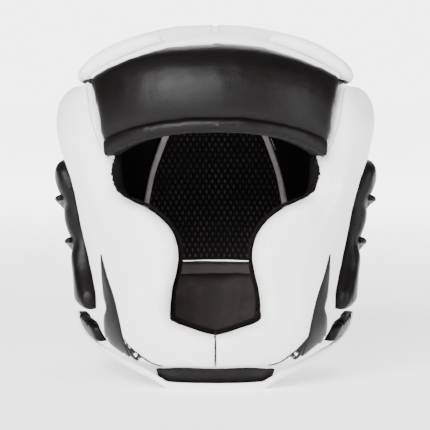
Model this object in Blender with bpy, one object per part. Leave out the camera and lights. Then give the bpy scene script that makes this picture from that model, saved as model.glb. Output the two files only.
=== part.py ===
"""Full-face padded head guard, standing on its collar and nape.

Metres, +Z up, the face towards -Y, origin on the floor under the middle.
Every padded panel lies on one common form: a stack of rounded sections that
close into a dome. A place on the form is a turn round the head, from 0 at the
face to 180 degrees at the nape, and a rise above the floor.
"""

import math

import bmesh
import bpy
from mathutils import Vector

# Overall sizes
HEIGHT = 0.263
WIDTH = 0.241
FRONT_REACH = 0.121
REAR_REACH = 0.130
BROAD_RISE = 0.190

# Squareness of the sections and of the dome, as exponents
SECTION_POWER = 2.3
DOME_SIDE_POWER = 2.2
DOME_FRONT_POWER = 3.5

# Padding and leather thicknesses
SHELL_THICK = 0.024
FOREHEAD_THICK = 0.027
CROWN_THICK = 0.016
WALL_THICK = 0.016
REAR_THICK = 0.022
NAPE_THICK = 0.018
NAPE_SET_BACK = 0.003
EAR_THICK = 0.016
LINING_THICK = 0.002
SKIN_THICK = 0.0012
BINDING_THICK = 0.004
SHELL_ROUND = 0.008
PAD_ROUND = 0.007
LEATHER_ROUND = 0.0015

# Heights and widths of the narrow pieces
BAND_HEIGHT = 0.0055
COLLAR_HEIGHT = 0.0055
HEM_HEIGHT = 0.010
REAR_BINDING_WIDTH = 0.007
TRIM_RADIUS = 0.0012
TRIM_START_ROW = 6
LIP_RADIUS = 0.0065
EAR_RING_RADIUS = 0.0030
EAR_LIFT = 0.009
STRAP_HEIGHT = 0.038
STRAP_THICK = 0.003
STRAP_END_TURN = 116.0
STRAP_CLIMB_TURN = 3.0
WALL_SET_BACK = 0.008

# Clearances: between panels, and between a skin and what carries it
GAP = 0.0005
SKIN_GAP = 0.0005
RING_GAP = 0.0016
CROWN_SEAM_GAP = 0.0012
PAD_EDGE_GAP = 0.0008

# The common form, one row per section: rise as a share of HEIGHT, half width as
# a share of WIDTH / 2, and the reaches as shares of FRONT_REACH and REAR_REACH
FORM_SECTIONS = (
    # rise, half width, front, rear
    (0.000, 0.650, 0.865, 0.820),
    (0.076, 0.730, 0.935, 0.845),
    (0.114, 0.780, 0.965, 0.860),
    (0.171, 0.815, 1.000, 0.885),
    (0.266, 0.822, 1.000, 0.915),
    (0.373, 0.845, 0.985, 0.945),
    (0.464, 0.885, 0.967, 0.970),
    (0.586, 0.950, 0.958, 0.985),
    (0.646, 0.978, 0.967, 0.985),
    (0.7224, 1.000, 0.975, 0.985),
)

# The side shell from its top seam to the chin seam, one row per station:
# turn and rise of the edge beside the face, then of the edge beside the ear
SHELL_STATIONS = (
    # face turn, face rise, ear turn, ear rise
    (61.0, 0.864, 100.0, 0.836),
    (52.0, 0.803, 97.0, 0.742),
    (47.4, 0.749, 91.0, 0.680),
    (43.8, 0.686, 84.0, 0.632),
    (41.0, 0.632, 79.0, 0.592),
    (43.5, 0.572, 77.0, 0.545),
    (42.1, 0.544, 77.0, 0.508),
    (37.6, 0.526, 77.0, 0.479),
    (32.1, 0.516, 77.0, 0.449),
    (27.4, 0.506, 77.0, 0.418),
    (23.2, 0.490, 76.5, 0.388),
    (18.9, 0.470, 75.5, 0.357),
    (15.3, 0.440, 74.0, 0.327),
    (13.5, 0.407, 72.0, 0.300),
    (13.3, 0.377, 70.0, 0.278),
    (14.0, 0.337, 67.5, 0.251),
    (17.8, 0.273, 66.5, 0.218),
    (19.5, 0.212, 68.0, 0.158),
    (18.3, 0.192, 62.0, 0.102),
    (14.8, 0.183, 45.0, 0.072),
    (10.1, 0.176, 30.0, 0.058),
    (5.0, 0.167, 15.0, 0.065),
    (0.4, 0.156, 0.4, 0.064),
)
EAR_EDGE_STATIONS = 18

# Black insets on the side shell, in the shell's own grid: share of the way down
# its stations, then shares of the way across from the face edge to the ear edge
FLASH_ROWS = (
    # down, face side, ear side
    (0.540, 0.668, 0.680),
    (0.600, 0.680, 0.725),
    (0.680, 0.665, 0.765),
    (0.727, 0.640, 0.800),
    (0.773, 0.600, 0.860),
    (0.818, 0.690, 0.930),
    (0.845, 0.820, 0.940),
    (0.868, 0.925, 0.945),
)
CRESCENT_ROWS = (
    # down, face side, ear side
    (0.838, 0.700, 0.720),
    (0.860, 0.770, 0.830),
    (0.885, 0.850, 0.930),
    (0.912, 0.940, 0.965),
)

# Half the forehead pad's turn, one row per level from its foot to its top
FOREHEAD_TURNS = (
    # share of the pad's height, half turn
    (0.00, 41.6),
    (0.25, 43.6),
    (0.50, 46.6),
    (0.75, 51.0),
    (1.00, 60.4),
)
FOREHEAD_TOP = (0.968, 0.110, 2.5)
FOREHEAD_FOOT = (0.738, 0.062, 1.9)
BROW_FOOT = (0.711, 0.073, 2.0)
BROW_HALF_TURN = 38.6
BROW_THICK = 0.018
BROW_ROUND = 0.0035

# The seam round the crown, as turn and rise, and the turns of the crown's corners
CROWN_SEAM_ROWS = (
    # turn, rise
    (54.8, 0.864),
    (100.0, 0.836),
    (140.0, 0.838),
    (180.0, 0.842),
)
CROWN_FRONT_TURN = 69.0
CROWN_REAR_TURN = 138.0

# The crown panel's front edge: across as a share of the corner's place, and
# towards the face as a share of FRONT_REACH
CROWN_FRONT_ROWS = (
    # across, front
    (0.00, 0.492),
    (0.12, 0.530),
    (0.22, 0.575),
    (0.30, 0.560),
    (0.38, 0.500),
    (0.50, 0.478),
    (0.65, 0.465),
    (0.80, 0.430),
    (0.92, 0.385),
    (1.00, 0.395),
)

# The rolled lip in front of the crown, one row per point: across as a share of
# WIDTH / 2, back as a share of FRONT_REACH, up as a share of HEIGHT, and fatness
LIP_POINTS = (
    # across, front, rise, fatness
    (0.800, -0.425, 0.868, 0.65),
    (0.745, -0.470, 0.889, 0.90),
    (0.650, -0.515, 0.915, 1.00),
    (0.545, -0.545, 0.937, 1.00),
    (0.435, -0.550, 0.953, 0.95),
    (0.330, -0.545, 0.9625, 0.70),
)
LIP_STEPS = 14

# The rear panels: turn of the rear pad's edge at each rise
REAR_EDGE_ROWS = (
    # rise, turn
    (0.842, 165.0),
    (0.760, 163.0),
    (0.700, 159.0),
    (0.600, 149.0),
    (0.470, 136.0),
    (0.380, 131.0),
    (0.285, 129.0),
)
NAPE_EDGE_TURN = 139.0
WALL_FOOT_ROWS = (
    # share of the way back, rise
    (0.0, 0.205),
    (0.5, 0.240),
    (1.0, 0.285),
)

# The ear pad: its turns and rises, and the slope of its two folded rings
EAR_FRONT_TURN = 79.0
EAR_REAR_TURN = 113.0
EAR_FRONT_SPACE = 1.5
EAR_TOP_RISE = 0.622
EAR_FOOT_RISE = 0.190
EAR_RING_RISES = (0.495, 0.375)
EAR_RING_FALL = 0.035
EAR_RING_REACH = 0.0055
EAR_GROOVE_DEPTH = 0.0035
EAR_ROLL_DEPTH = 0.0022

# The collar binding along the lower front edge: turn and rise of its lower edge
COLLAR_ROWS = (
    # turn, rise
    (0.0, 0.000),
    (23.0, 0.000),
    (30.0, 0.022),
    (42.0, 0.043),
    (57.0, 0.063),
    (70.0, 0.076),
    (82.0, 0.100),
    (89.0, 0.124),
    (93.0, 0.150),
)
CHIN_PANEL_TURN = 30.0
CHIN_PANEL_FOOT = 0.002
FLAP_TOP_ROWS = (
    # turn, rise
    (69.5, 0.148),
    (76.0, 0.160),
    (84.0, 0.166),
    (93.0, 0.172),
)
FLAP_THICK = 0.008
FLARE_REACH = 0.010
FLARE_START_TURN = 64.0

# How many sections each panel has along and across
SHELL_GRID = (33, 7)
SKIN_GRID = (12, 4)
STRIP_GRID = (18, 3)
CROWN_GRID = (14, 11)
WALL_GRID = (8, 14)
REAR_GRID = (10, 8)
EAR_GRID = (8, 17)
COLLAR_GRID = (40, 1)

NORMAL_STEP = 0.5
RISE_STEP = 0.001
NORMAL_TURN_RISE = 0.57
NORMAL_TURN_SPAN = 0.19
DOME_LIMIT = 0.9999


def clamp(value, low=0.0, high=1.0):
    return max(low, min(high, value))


def row_at(rows, share):
    """A smooth curve through the rows of a table, by share of its length."""
    last = len(rows) - 1
    place = clamp(share) * last
    index = min(int(place), last - 1)
    part = place - index
    before, start, end, after = (rows[clamp(index + k, 0, last)] for k in (-1, 0, 1, 2))
    values = []
    for a, b, c, d in zip(before, start, end, after):
        bend = 2 * a - 5 * b + 4 * c - d
        twist = 3 * b - a - 3 * c + d
        values.append(0.5 * (2 * b + (c - a) * part + bend * part ** 2 + twist * part ** 3))
    return values


def row_by_first(rows, value):
    """The same curve, read by the value of the table's first column."""
    low, high = 0.0, 1.0
    rising = rows[-1][0] > rows[0][0]
    for _ in range(24):
        middle = (low + high) / 2
        if (row_at(rows, middle)[0] < value) == rising:
            low = middle
        else:
            high = middle
    return row_at(rows, (low + high) / 2)


def section(rise):
    """Half width, front reach and rear reach of the form at a height in metres."""
    if rise <= BROAD_RISE:
        _, half, front, rear = row_by_first(FORM_SECTIONS, clamp(rise / BROAD_RISE) * FORM_SECTIONS[-1][0])
        return half * WIDTH / 2, front * FRONT_REACH, rear * REAR_REACH
    _, half, front, rear = FORM_SECTIONS[-1]
    up = min((rise - BROAD_RISE) / (HEIGHT - BROAD_RISE), DOME_LIMIT)
    side = (1 - up ** DOME_SIDE_POWER) ** (1 / DOME_SIDE_POWER)
    fore = (1 - up ** DOME_FRONT_POWER) ** (1 / DOME_FRONT_POWER)
    return half * WIDTH / 2 * side, front * FRONT_REACH * fore, rear * REAR_REACH * side


def form_point(turn, rise):
    half, front, rear = section(rise)
    angle = math.radians(turn)
    across = math.copysign(abs(math.sin(angle)) ** (2 / SECTION_POWER), math.sin(angle))
    along = math.copysign(abs(math.cos(angle)) ** (2 / SECTION_POWER), math.cos(angle))
    reach = front if along > 0 else rear
    return Vector((half * across, -reach * along, rise))


def form_normal(turn, rise):
    """Level on the walls and square to the form on the dome."""
    round_way = form_point(turn + NORMAL_STEP, rise) - form_point(turn - NORMAL_STEP, rise)
    level = Vector((-round_way.y, round_way.x, 0)).normalized() * -1
    up_way = form_point(turn, rise + RISE_STEP) - form_point(turn, rise - RISE_STEP)
    square = round_way.cross(up_way).normalized()
    share = clamp((rise / HEIGHT - NORMAL_TURN_RISE) / NORMAL_TURN_SPAN)
    share = share * share * (3 - 2 * share)
    return level.lerp(square, share).normalized()


def on_form(turn, rise, lift):
    return form_point(turn, rise) + form_normal(turn, rise) * lift


def dome_height(x, y):
    """Height of the dome over a point of the plan."""
    low, high = BROAD_RISE, HEIGHT
    for _ in range(30):
        middle = (low + high) / 2
        half, front, rear = section(middle)
        reach = front if y < 0 else rear
        if abs(x / half) ** SECTION_POWER + abs(y / reach) ** SECTION_POWER < 1:
            low = middle
        else:
            high = middle
    return low


def spread(index, count):
    """Shares that crowd towards both ends, for rounded edges."""
    return (1 - math.cos(math.pi * index / count)) / 2


def edge_drop(distance, radius):
    """How far a quarter-round edge falls at a distance from the edge."""
    part = 1 - clamp(distance / radius)
    return radius * (1 - math.sqrt(max(0.0, 1 - part * part)))


def new_material(name, colour, roughness):
    material = bpy.data.materials.new(name)
    material.use_nodes = True
    shader = material.node_tree.nodes["Principled BSDF"]
    shader.inputs["Base Color"].default_value = (*colour, 1)
    shader.inputs["Roughness"].default_value = roughness
    shader.inputs["Metallic"].default_value = 0
    material.diffuse_color = (*colour, 1)
    return material


def add_object(name, data, material):
    piece = bpy.data.objects.new(name, data)
    data.materials.append(material)
    parts.objects.link(piece)
    piece.parent = root
    return piece


def even(index, count):
    return index / count


def slab(name, material, grid, place, spacing=(spread, spread)):
    """A closed sheet: a flat grid, thickened and bent by place(down, over, depth)."""
    along, across = grid
    mesh = bpy.data.meshes.new(name)
    work = bmesh.new()
    bmesh.ops.create_grid(work, x_segments=along, y_segments=across, size=0.5)
    bmesh.ops.solidify(work, geom=work.faces[:], thickness=1)
    for vertex in work.verts:
        row = round((vertex.co.x + 0.5) * along)
        column = round((vertex.co.y + 0.5) * across)
        depth = 0 if abs(vertex.co.z) < 0.5 else 1
        vertex.co = place(spacing[0](row, along), spacing[1](column, across), depth)
    bmesh.ops.recalc_face_normals(work, faces=work.faces[:])
    if work.calc_volume(signed=True) < 0:
        bmesh.ops.reverse_faces(work, faces=work.faces[:])
    work.to_mesh(mesh)
    work.free()
    mesh.shade_smooth()
    mesh.set_sharp_from_angle(angle=math.radians(50))
    return add_object(name, mesh, material)


def tube(name, material, points, radius, fatness=None, sides_bevel=1):
    """A round roll along a smooth path."""
    curve = bpy.data.curves.new(name, "CURVE")
    curve.dimensions = "3D"
    curve.bevel_depth = radius
    curve.bevel_resolution = sides_bevel
    curve.render_resolution_u = 0
    curve.use_fill_caps = True
    spline = curve.splines.new("POLY")
    spline.points.add(len(points) - 1)
    for index, point in enumerate(points):
        spline.points[index].co = (*point, 1)
        spline.points[index].radius = fatness[index] if fatness else 1
    return add_object(name, curve, material)


def sides(build, name):
    """The same piece at the viewer's right and, mirrored, at the left."""
    for word, side in (("left", -1), ("right", 1)):
        build(name + "_" + word, side)


def flip(point, side):
    return Vector((point.x * side, point.y, point.z))


def shell_span(down):
    face_turn, face_rise, ear_turn, ear_rise = row_at(SHELL_STATIONS, down)
    return face_turn, face_rise * HEIGHT, ear_turn, ear_rise * HEIGHT


def shell_width(down):
    face_turn, face_rise, ear_turn, ear_rise = shell_span(down)
    return (form_point(ear_turn, ear_rise) - form_point(face_turn, face_rise)).length


def shell_point(down, over, lift, side):
    """A point of the side shell, measured from its rounded outer face."""
    face_turn, face_rise, ear_turn, ear_rise = shell_span(down)
    turn = face_turn + (ear_turn - face_turn) * over
    rise = face_rise + (ear_rise - face_rise) * over
    width = shell_width(down)
    drop = edge_drop(min(over, 1 - over) * width, SHELL_ROUND)
    drop = max(drop, edge_drop(down * HEIGHT, PAD_ROUND / 2))
    return flip(on_form(turn, rise, lift - drop), side), drop


def side_shell(name, side):
    def place(down, over, depth):
        point, drop = shell_point(down, over, 0, side)
        if depth == 0:
            return point
        return shell_point(down, over, 2 * drop - SHELL_THICK, side)[0]

    slab(name, white_leather, SHELL_GRID, place, (even, spread))


def shell_skin(rows, build_name, material):
    """A thin patch on the side shell, cut to the shape of a table."""
    def build(name, side):
        def place(down, over, depth):
            share_down, face_side, ear_side = row_at(rows, down)
            across = face_side + (ear_side - face_side) * over
            lift = SKIN_GAP + (SKIN_THICK if depth == 0 else 0)
            return shell_point(share_down, across, lift, side)[0]

        slab(name, material, SKIN_GRID, place, (even, even))

    sides(build, build_name)


def arc_rise(shape, share):
    top, fall, power = shape
    return (top - fall * abs(share) ** power) * HEIGHT


def forehead_pad():
    def place(down, over, depth):
        side_share = 2 * down - 1
        half_turn = row_by_first(FOREHEAD_TURNS, over)[1]
        foot = arc_rise(FOREHEAD_FOOT, side_share)
        top = arc_rise(FOREHEAD_TOP, side_share)
        rise = foot + (top - foot) * over
        turn = half_turn * side_share - math.copysign(PAD_EDGE_GAP / WIDTH * 180, side_share)
        width = (1 - abs(side_share)) * WIDTH / 2
        height = min(over, 1 - over) * (top - foot)
        drop = max(edge_drop(width, PAD_ROUND), edge_drop(height, PAD_ROUND))
        if depth == 0:
            return on_form(turn, rise, -drop)
        return on_form(turn, rise, drop - FOREHEAD_THICK)

    slab("forehead_pad", black_leather, (16, 8), place)


def brow_roll():
    def place(down, over, depth):
        side_share = 2 * down - 1
        half_turn = BROW_HALF_TURN + (FOREHEAD_TURNS[0][1] - BROW_HALF_TURN) * over
        foot = arc_rise(BROW_FOOT, side_share)
        top = arc_rise(FOREHEAD_FOOT, side_share) - GAP
        rise = foot + (top - foot) * over
        turn = half_turn * side_share - math.copysign(PAD_EDGE_GAP / WIDTH * 180, side_share)
        drop = edge_drop(min(over, 1 - over) * (top - foot), BROW_ROUND)
        if depth == 0:
            return on_form(turn, rise, BROW_ROUND / 2 - drop)
        return on_form(turn, rise, drop - BROW_THICK)

    slab("brow_roll", black_leather, (16, 4), place)


def forehead_binding():
    """Folds over the pad's upper edge, from corner to corner."""
    def place(down, over, depth):
        side_share = 2 * down - 1
        half_turn = FOREHEAD_TURNS[-1][1]
        turn = half_turn * side_share - math.copysign(PAD_EDGE_GAP / WIDTH * 180, side_share)
        rise = arc_rise(FOREHEAD_TOP, side_share) + GAP + BAND_HEIGHT * over
        drop = edge_drop(min(over, 1 - over) * BAND_HEIGHT, LEATHER_ROUND)
        if depth == 0:
            return on_form(turn, min(rise, HEIGHT * 0.995), -PAD_ROUND / 3 - drop)
        return on_form(turn, min(rise, HEIGHT * 0.995), drop - PAD_ROUND / 3 - BAND_HEIGHT * 2)

    slab("forehead_binding", white_leather, STRIP_GRID, place)


def face_trim(name, side):
    def edge(down):
        face_turn, face_rise, _, _ = shell_span(down)
        return on_form(face_turn, face_rise, -SHELL_THICK / 2)

    points = []
    last = SHELL_GRID[0]
    for row in range(TRIM_START_ROW, last + 1):
        down = row / last
        face_turn, face_rise, _, _ = shell_span(down)
        way = edge(clamp(down + 0.01)) - edge(clamp(down - 0.01))
        away = way.cross(form_normal(face_turn, face_rise)).normalized()
        point = edge(down) + away * (TRIM_RADIUS + GAP)
        points.append(flip(point, side))
    points[-1].x = side * GAP
    tube(name, trim_suede, points, TRIM_RADIUS, sides_bevel=0)


def seam_rise(turn):
    """Height of the crown's seam, straight from row to row."""
    turn = min(turn, 360 - turn)
    for start, end in zip(CROWN_SEAM_ROWS, CROWN_SEAM_ROWS[1:]):
        if turn <= end[0]:
            share = (turn - start[0]) / (end[0] - start[0])
            return (start[1] + (end[1] - start[1]) * share) * HEIGHT
    return CROWN_SEAM_ROWS[-1][1] * HEIGHT


def seam_point(turn):
    point = form_point(turn, seam_rise(turn) + CROWN_SEAM_GAP)
    return Vector((point.x, point.y))


def crown_panel():
    """A four-cornered patch over the dome, with a short tongue at the front."""
    corner = seam_point(CROWN_FRONT_TURN)
    rear_corner = seam_point(CROWN_REAR_TURN)

    def front(share):
        reach = row_by_first(CROWN_FRONT_ROWS, abs(share))[1]
        end = CROWN_FRONT_ROWS[-1][1]
        return Vector((corner.x * share, corner.y - FRONT_REACH * (reach - end)))

    def rear(share):
        turn = 180 - (180 - CROWN_REAR_TURN) * abs(share)
        point = seam_point(turn)
        return Vector((math.copysign(point.x, share) if share else 0.0, point.y))

    def edge(share, side):
        point = seam_point(CROWN_FRONT_TURN + (CROWN_REAR_TURN - CROWN_FRONT_TURN) * share)
        return Vector((point.x * side, point.y))

    def place(down, over, depth):
        share = 2 * down - 1
        lengthways = front(share).lerp(rear(share), over)
        sideways = edge(over, -1).lerp(edge(over, 1), down)
        low = Vector((-corner.x, corner.y)).lerp(corner, down)
        high = Vector((-rear_corner.x, rear_corner.y)).lerp(rear_corner, down)
        plan = lengthways + sideways - low.lerp(high, over)
        height = dome_height(plan.x, plan.y)
        step = RISE_STEP
        slope_x = (dome_height(plan.x + step, plan.y) - dome_height(plan.x - step, plan.y)) / (2 * step)
        slope_y = (dome_height(plan.x, plan.y + step) - dome_height(plan.x, plan.y - step)) / (2 * step)
        normal = Vector((-slope_x, -slope_y, 1)).normalized()
        near = min(min(down, 1 - down) * WIDTH, min(over, 1 - over) * REAR_REACH * 1.5)
        drop = edge_drop(near, PAD_ROUND)
        lift = -drop if depth == 0 else drop - CROWN_THICK
        return Vector((plan.x, plan.y, height)) + normal * lift

    slab("crown_panel", white_leather, CROWN_GRID, place)


def crown_lip(name, side):
    points = []
    fatness = []
    for index in range(LIP_STEPS + 1):
        across, front, rise, fat = row_at(LIP_POINTS, index / LIP_STEPS)
        points.append(Vector((side * across * WIDTH / 2, front * FRONT_REACH, rise * HEIGHT)))
        fatness.append(fat)
    tube(name, white_leather, points, LIP_RADIUS, fatness)


def rear_edge_turn(rise):
    return row_by_first(REAR_EDGE_ROWS, rise / HEIGHT)[1]


def rear_span():
    return REAR_EDGE_ROWS[-1][0] * HEIGHT, REAR_EDGE_ROWS[0][0] * HEIGHT - GAP


def rear_sheet(name, material, lift, thick, rounding, inset, spacing):
    """A panel of the rear pad's outline, at a depth of its own."""
    def place(down, over, depth):
        foot, top = rear_span()
        rise = foot + inset + (top - foot - 2 * inset) * over
        edge = rear_edge_turn(rise)
        turn = edge + (360 - 2 * edge) * down
        width = min(down, 1 - down) * (360 - 2 * edge) / 180 * WIDTH
        height = min(over, 1 - over) * (top - foot)
        drop = edge_drop(min(width, height), rounding)
        return on_form(turn, rise, lift - drop if depth == 0 else lift - thick + drop)

    slab(name, material, REAR_GRID, place, spacing)


def rear_binding(name, side):
    def place(down, over, depth):
        foot, top = rear_span()
        rise = foot + (top - foot) * down
        edge = rear_edge_turn(rise)
        half = section(rise)[0]
        turn = edge + math.degrees(REAR_BINDING_WIDTH / half) * over
        lift = -REAR_THICK - LINING_THICK - 3 * SKIN_GAP
        lift = lift if depth == 0 else lift - LINING_THICK
        return flip(on_form(turn, rise, lift), side)

    slab(name, pale_binding, (REAR_GRID[1], 2), place)


def side_wall(name, side):
    """Runs from the shell's ear edge, behind the ear pad, to the rear pad."""
    def place(down, over, depth):
        turn, rise = wall_place(down, over)
        drop = edge_drop(min(over, 1 - over) * HEIGHT / 2, PAD_ROUND / 2)
        lift = -WALL_SET_BACK - drop if depth == 0 else drop - WALL_SET_BACK - WALL_THICK
        return flip(on_form(turn, rise, lift), side)

    slab(name, white_leather, WALL_GRID, place, (spread, even))


def ear_edge_turn(rise):
    """Turn of the side shell's ear edge at a height."""
    rows = [(row[3], row[2]) for row in SHELL_STATIONS[:EAR_EDGE_STATIONS]]
    return row_by_first(rows, rise / HEIGHT)[1]


def wall_place(down, over):
    foot = row_by_first(WALL_FOOT_ROWS, down)[1] * HEIGHT
    top = CROWN_SEAM_ROWS[1][1] * HEIGHT - GAP
    rise = foot + (top - foot) * over
    gap_turn = math.degrees(5 * GAP / (WIDTH / 2))
    start = ear_edge_turn(rise) + gap_turn
    end = rear_edge_turn(rise) - gap_turn / 2
    return start + (end - start) * down, rise


def side_lining(name, side):
    def place(down, over, depth):
        turn, rise = wall_place(down, over)
        drop = edge_drop(min(over, 1 - over) * HEIGHT / 2, PAD_ROUND / 2)
        lift = drop - WALL_SET_BACK - WALL_THICK - SKIN_GAP
        lift = lift if depth == 0 else lift - LINING_THICK
        return flip(on_form(turn, rise, lift), side)

    slab(name, black_lining, WALL_GRID, place, (spread, even))


def ear_ring_rise(index, back):
    return (EAR_RING_RISES[index] - EAR_RING_FALL * (back - 0.3)) * HEIGHT


def ear_surface(back, rise):
    """Lift of the ear pad's outer face: three bulges, each of two rolls."""
    lift = EAR_LIFT
    for index in range(len(EAR_RING_RISES)):
        away = (rise - ear_ring_rise(index, back)) / EAR_RING_REACH
        lift -= EAR_GROOVE_DEPTH * math.exp(-away * away)
    lift -= EAR_ROLL_DEPTH * math.exp(-((back - 0.5) / 0.10) ** 2)
    return lift


def ear_pad(name, side):
    def place(down, over, depth):
        rise = (EAR_FOOT_RISE + (EAR_TOP_RISE - EAR_FOOT_RISE) * over) * HEIGHT
        front = ear_edge_turn(rise) + EAR_FRONT_SPACE
        turn = front + (EAR_REAR_TURN - front) * down
        arc = math.radians(EAR_REAR_TURN - EAR_FRONT_TURN) * WIDTH / 2
        near = min(min(down, 1 - down) * arc, min(over, 1 - over) * HEIGHT * (EAR_TOP_RISE - EAR_FOOT_RISE))
        drop = edge_drop(near, PAD_ROUND)
        if depth == 0:
            return flip(on_form(turn, rise, ear_surface(down, rise) - drop), side)
        return flip(on_form(turn, rise, 2 * GAP - WALL_SET_BACK), side)

    slab(name, black_leather, EAR_GRID, place, (spread, even))


def ear_ring(index):
    def build(name, side):
        points = []
        for step in range(EAR_GRID[0] + 1):
            back = 0.03 + 0.94 * spread(step, EAR_GRID[0])
            rise = ear_ring_rise(index, back)
            front = ear_edge_turn(rise) + EAR_FRONT_SPACE
            turn = front + (EAR_REAR_TURN - front) * back
            arc = math.radians(EAR_REAR_TURN - EAR_FRONT_TURN) * WIDTH / 2
            drop = edge_drop(min(back, 1 - back) * arc, PAD_ROUND)
            lift = ear_surface(back, rise) - drop + EAR_RING_RADIUS + RING_GAP
            points.append(flip(on_form(turn, rise, lift), side))
        tube(name, black_leather, points, EAR_RING_RADIUS)

    sides(build, "ear_ring_" + ("upper", "lower")[index])


def collar_rise(turn):
    return max(row_by_first(COLLAR_ROWS, abs(turn))[1], 0) * HEIGHT


def shell_foot_rise(turn):
    """Height of the side shell's lower edge beside the chin."""
    rows = [(row[2], row[3]) for row in SHELL_STATIONS[EAR_EDGE_STATIONS:]]
    return row_by_first(rows, max(abs(turn), rows[-1][0]))[1] * HEIGHT


def flare(turn):
    """The collar's ends stand away from the form."""
    share = clamp((abs(turn) - FLARE_START_TURN) / (COLLAR_ROWS[-1][0] - FLARE_START_TURN))
    return FLARE_REACH * share


def collar_binding():
    end_turn = COLLAR_ROWS[-1][0]

    def place(down, over, depth):
        turn = end_turn * (2 * down - 1)
        rise = collar_rise(turn) + COLLAR_HEIGHT * over
        lift = flare(turn) - (0 if depth == 0 else BINDING_THICK)
        return on_form(turn, rise, lift)

    slab("collar_binding", white_leather, COLLAR_GRID, place, (even, even))


def under_chin_panel():
    def place(down, over, depth):
        turn = CHIN_PANEL_TURN * (2 * down - 1)
        foot = collar_rise(turn) + CHIN_PANEL_FOOT
        rise = foot + (shell_foot_rise(turn) - GAP - foot) * over
        lift = -BINDING_THICK - SKIN_GAP * 2
        return on_form(turn, rise, lift if depth == 0 else lift - LINING_THICK * 2)

    slab("under_chin_panel", black_leather, (14, 2), place, (even, even))


def jaw_flap(name, side):
    def place(down, over, depth):
        start, end = FLAP_TOP_ROWS[0][0], FLAP_TOP_ROWS[-1][0]
        turn = start + (end - start) * down
        foot = collar_rise(turn) + COLLAR_HEIGHT + 3 * GAP
        top = row_by_first(FLAP_TOP_ROWS, turn)[1] * HEIGHT
        rise = foot + (top - foot) * over
        lift = flare(turn) - LEATHER_ROUND - (0 if depth == 0 else FLAP_THICK)
        return flip(on_form(turn, rise, lift), side)

    slab(name, black_leather, (8, 4), place, (even, even))


def nape_sheet(name, material, foot, top, rounding, grid, spacing):
    def place(down, over, depth):
        turn = NAPE_EDGE_TURN + (360 - 2 * NAPE_EDGE_TURN) * down
        rise = foot + (top - foot) * over
        width = min(down, 1 - down) * (360 - 2 * NAPE_EDGE_TURN) / 180 * WIDTH
        drop = edge_drop(width, rounding)
        lift = -NAPE_SET_BACK - drop if depth == 0 else -NAPE_SET_BACK - NAPE_THICK + drop
        return on_form(turn, rise, lift)

    slab(name, material, grid, place, spacing)


def rear_strap():
    def place(down, over, depth):
        middle = rear_span()[0] + STRAP_HEIGHT * 1.6
        rise = middle + STRAP_HEIGHT * (over - 0.5)
        turn = STRAP_END_TURN + (360 - 2 * STRAP_END_TURN) * down
        edge = rear_edge_turn(rise)
        climb = clamp((min(turn, 360 - turn) - STRAP_END_TURN) / (edge + STRAP_CLIMB_TURN - STRAP_END_TURN))
        lift = 3 * GAP - WALL_SET_BACK * (1 - climb ** 3) + (STRAP_THICK if depth == 0 else 0)
        return on_form(turn, rise, lift)

    slab("rear_strap", black_leather, (24, 2), place, (even, even))


for old in list(bpy.data.objects):
    bpy.data.objects.remove(old, do_unlink=True)

parts = bpy.data.collections.new("head_guard")
bpy.context.scene.collection.children.link(parts)
root = bpy.data.objects.new("head_guard_frame", None)
parts.objects.link(root)

white_leather = new_material("white leather", (0.86, 0.84, 0.83), 0.45)
black_leather = new_material("black leather", (0.012, 0.009, 0.009), 0.38)
black_lining = new_material("black lining", (0.020, 0.016, 0.016), 0.60)
nape_leather = new_material("nape leather", (0.060, 0.048, 0.048), 0.50)
mesh_lining = new_material("mesh lining", (0.010, 0.009, 0.008), 0.85)
pale_binding = new_material("pale binding", (0.42, 0.38, 0.38), 0.55)
trim_suede = new_material("trim suede", (0.030, 0.020, 0.018), 0.90)

sides(side_shell, "side_shell")
shell_skin(FLASH_ROWS, "jaw_flash", black_leather)
shell_skin(CRESCENT_ROWS, "jaw_crescent", black_leather)
sides(face_trim, "face_trim")
forehead_pad()
brow_roll()
forehead_binding()
crown_panel()
sides(crown_lip, "crown_lip")
sides(side_wall, "side_wall")
sides(side_lining, "side_lining")
sides(ear_pad, "ear_pad")
ear_ring(0)
ear_ring(1)
rear_sheet("rear_pad", white_leather, 0, REAR_THICK, PAD_ROUND, 0, (spread, spread))
rear_sheet("rear_lining", mesh_lining, -REAR_THICK - SKIN_GAP, LINING_THICK, LEATHER_ROUND / 3, GAP, (spread, spread))
sides(rear_binding, "rear_binding")
nape_top = REAR_EDGE_ROWS[-1][0] * HEIGHT - HEM_HEIGHT
nape_sheet("nape_pad", nape_leather, 0, nape_top, PAD_ROUND * 2 / 3, (12, 4), (spread, even))
nape_sheet("nape_hem", pale_binding, nape_top + GAP, nape_top + HEM_HEIGHT - GAP, LEATHER_ROUND, (12, 2), (spread, even))
rear_strap()
sides(jaw_flap, "jaw_flap")
under_chin_panel()
collar_binding()

bpy.context.view_layer.update()
corners = [Vector(corner) for piece in parts.objects if piece.data for corner in piece.bound_box]
root.location.y = -(min(corner.y for corner in corners) + max(corner.y for corner in corners)) / 2
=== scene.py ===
"""Full-face padded head guard: white and black leather over foam, standing on its collar.

Metres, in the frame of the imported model: +Z up, the face opening towards -Y.
Marks given in pixels are places in the 430 x 430 photograph.
"""

import math

import bmesh
import bpy
import numpy as np
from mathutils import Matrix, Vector, noise
from mathutils.bvhtree import BVHTree
from mathutils.kdtree import KDTree


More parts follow.
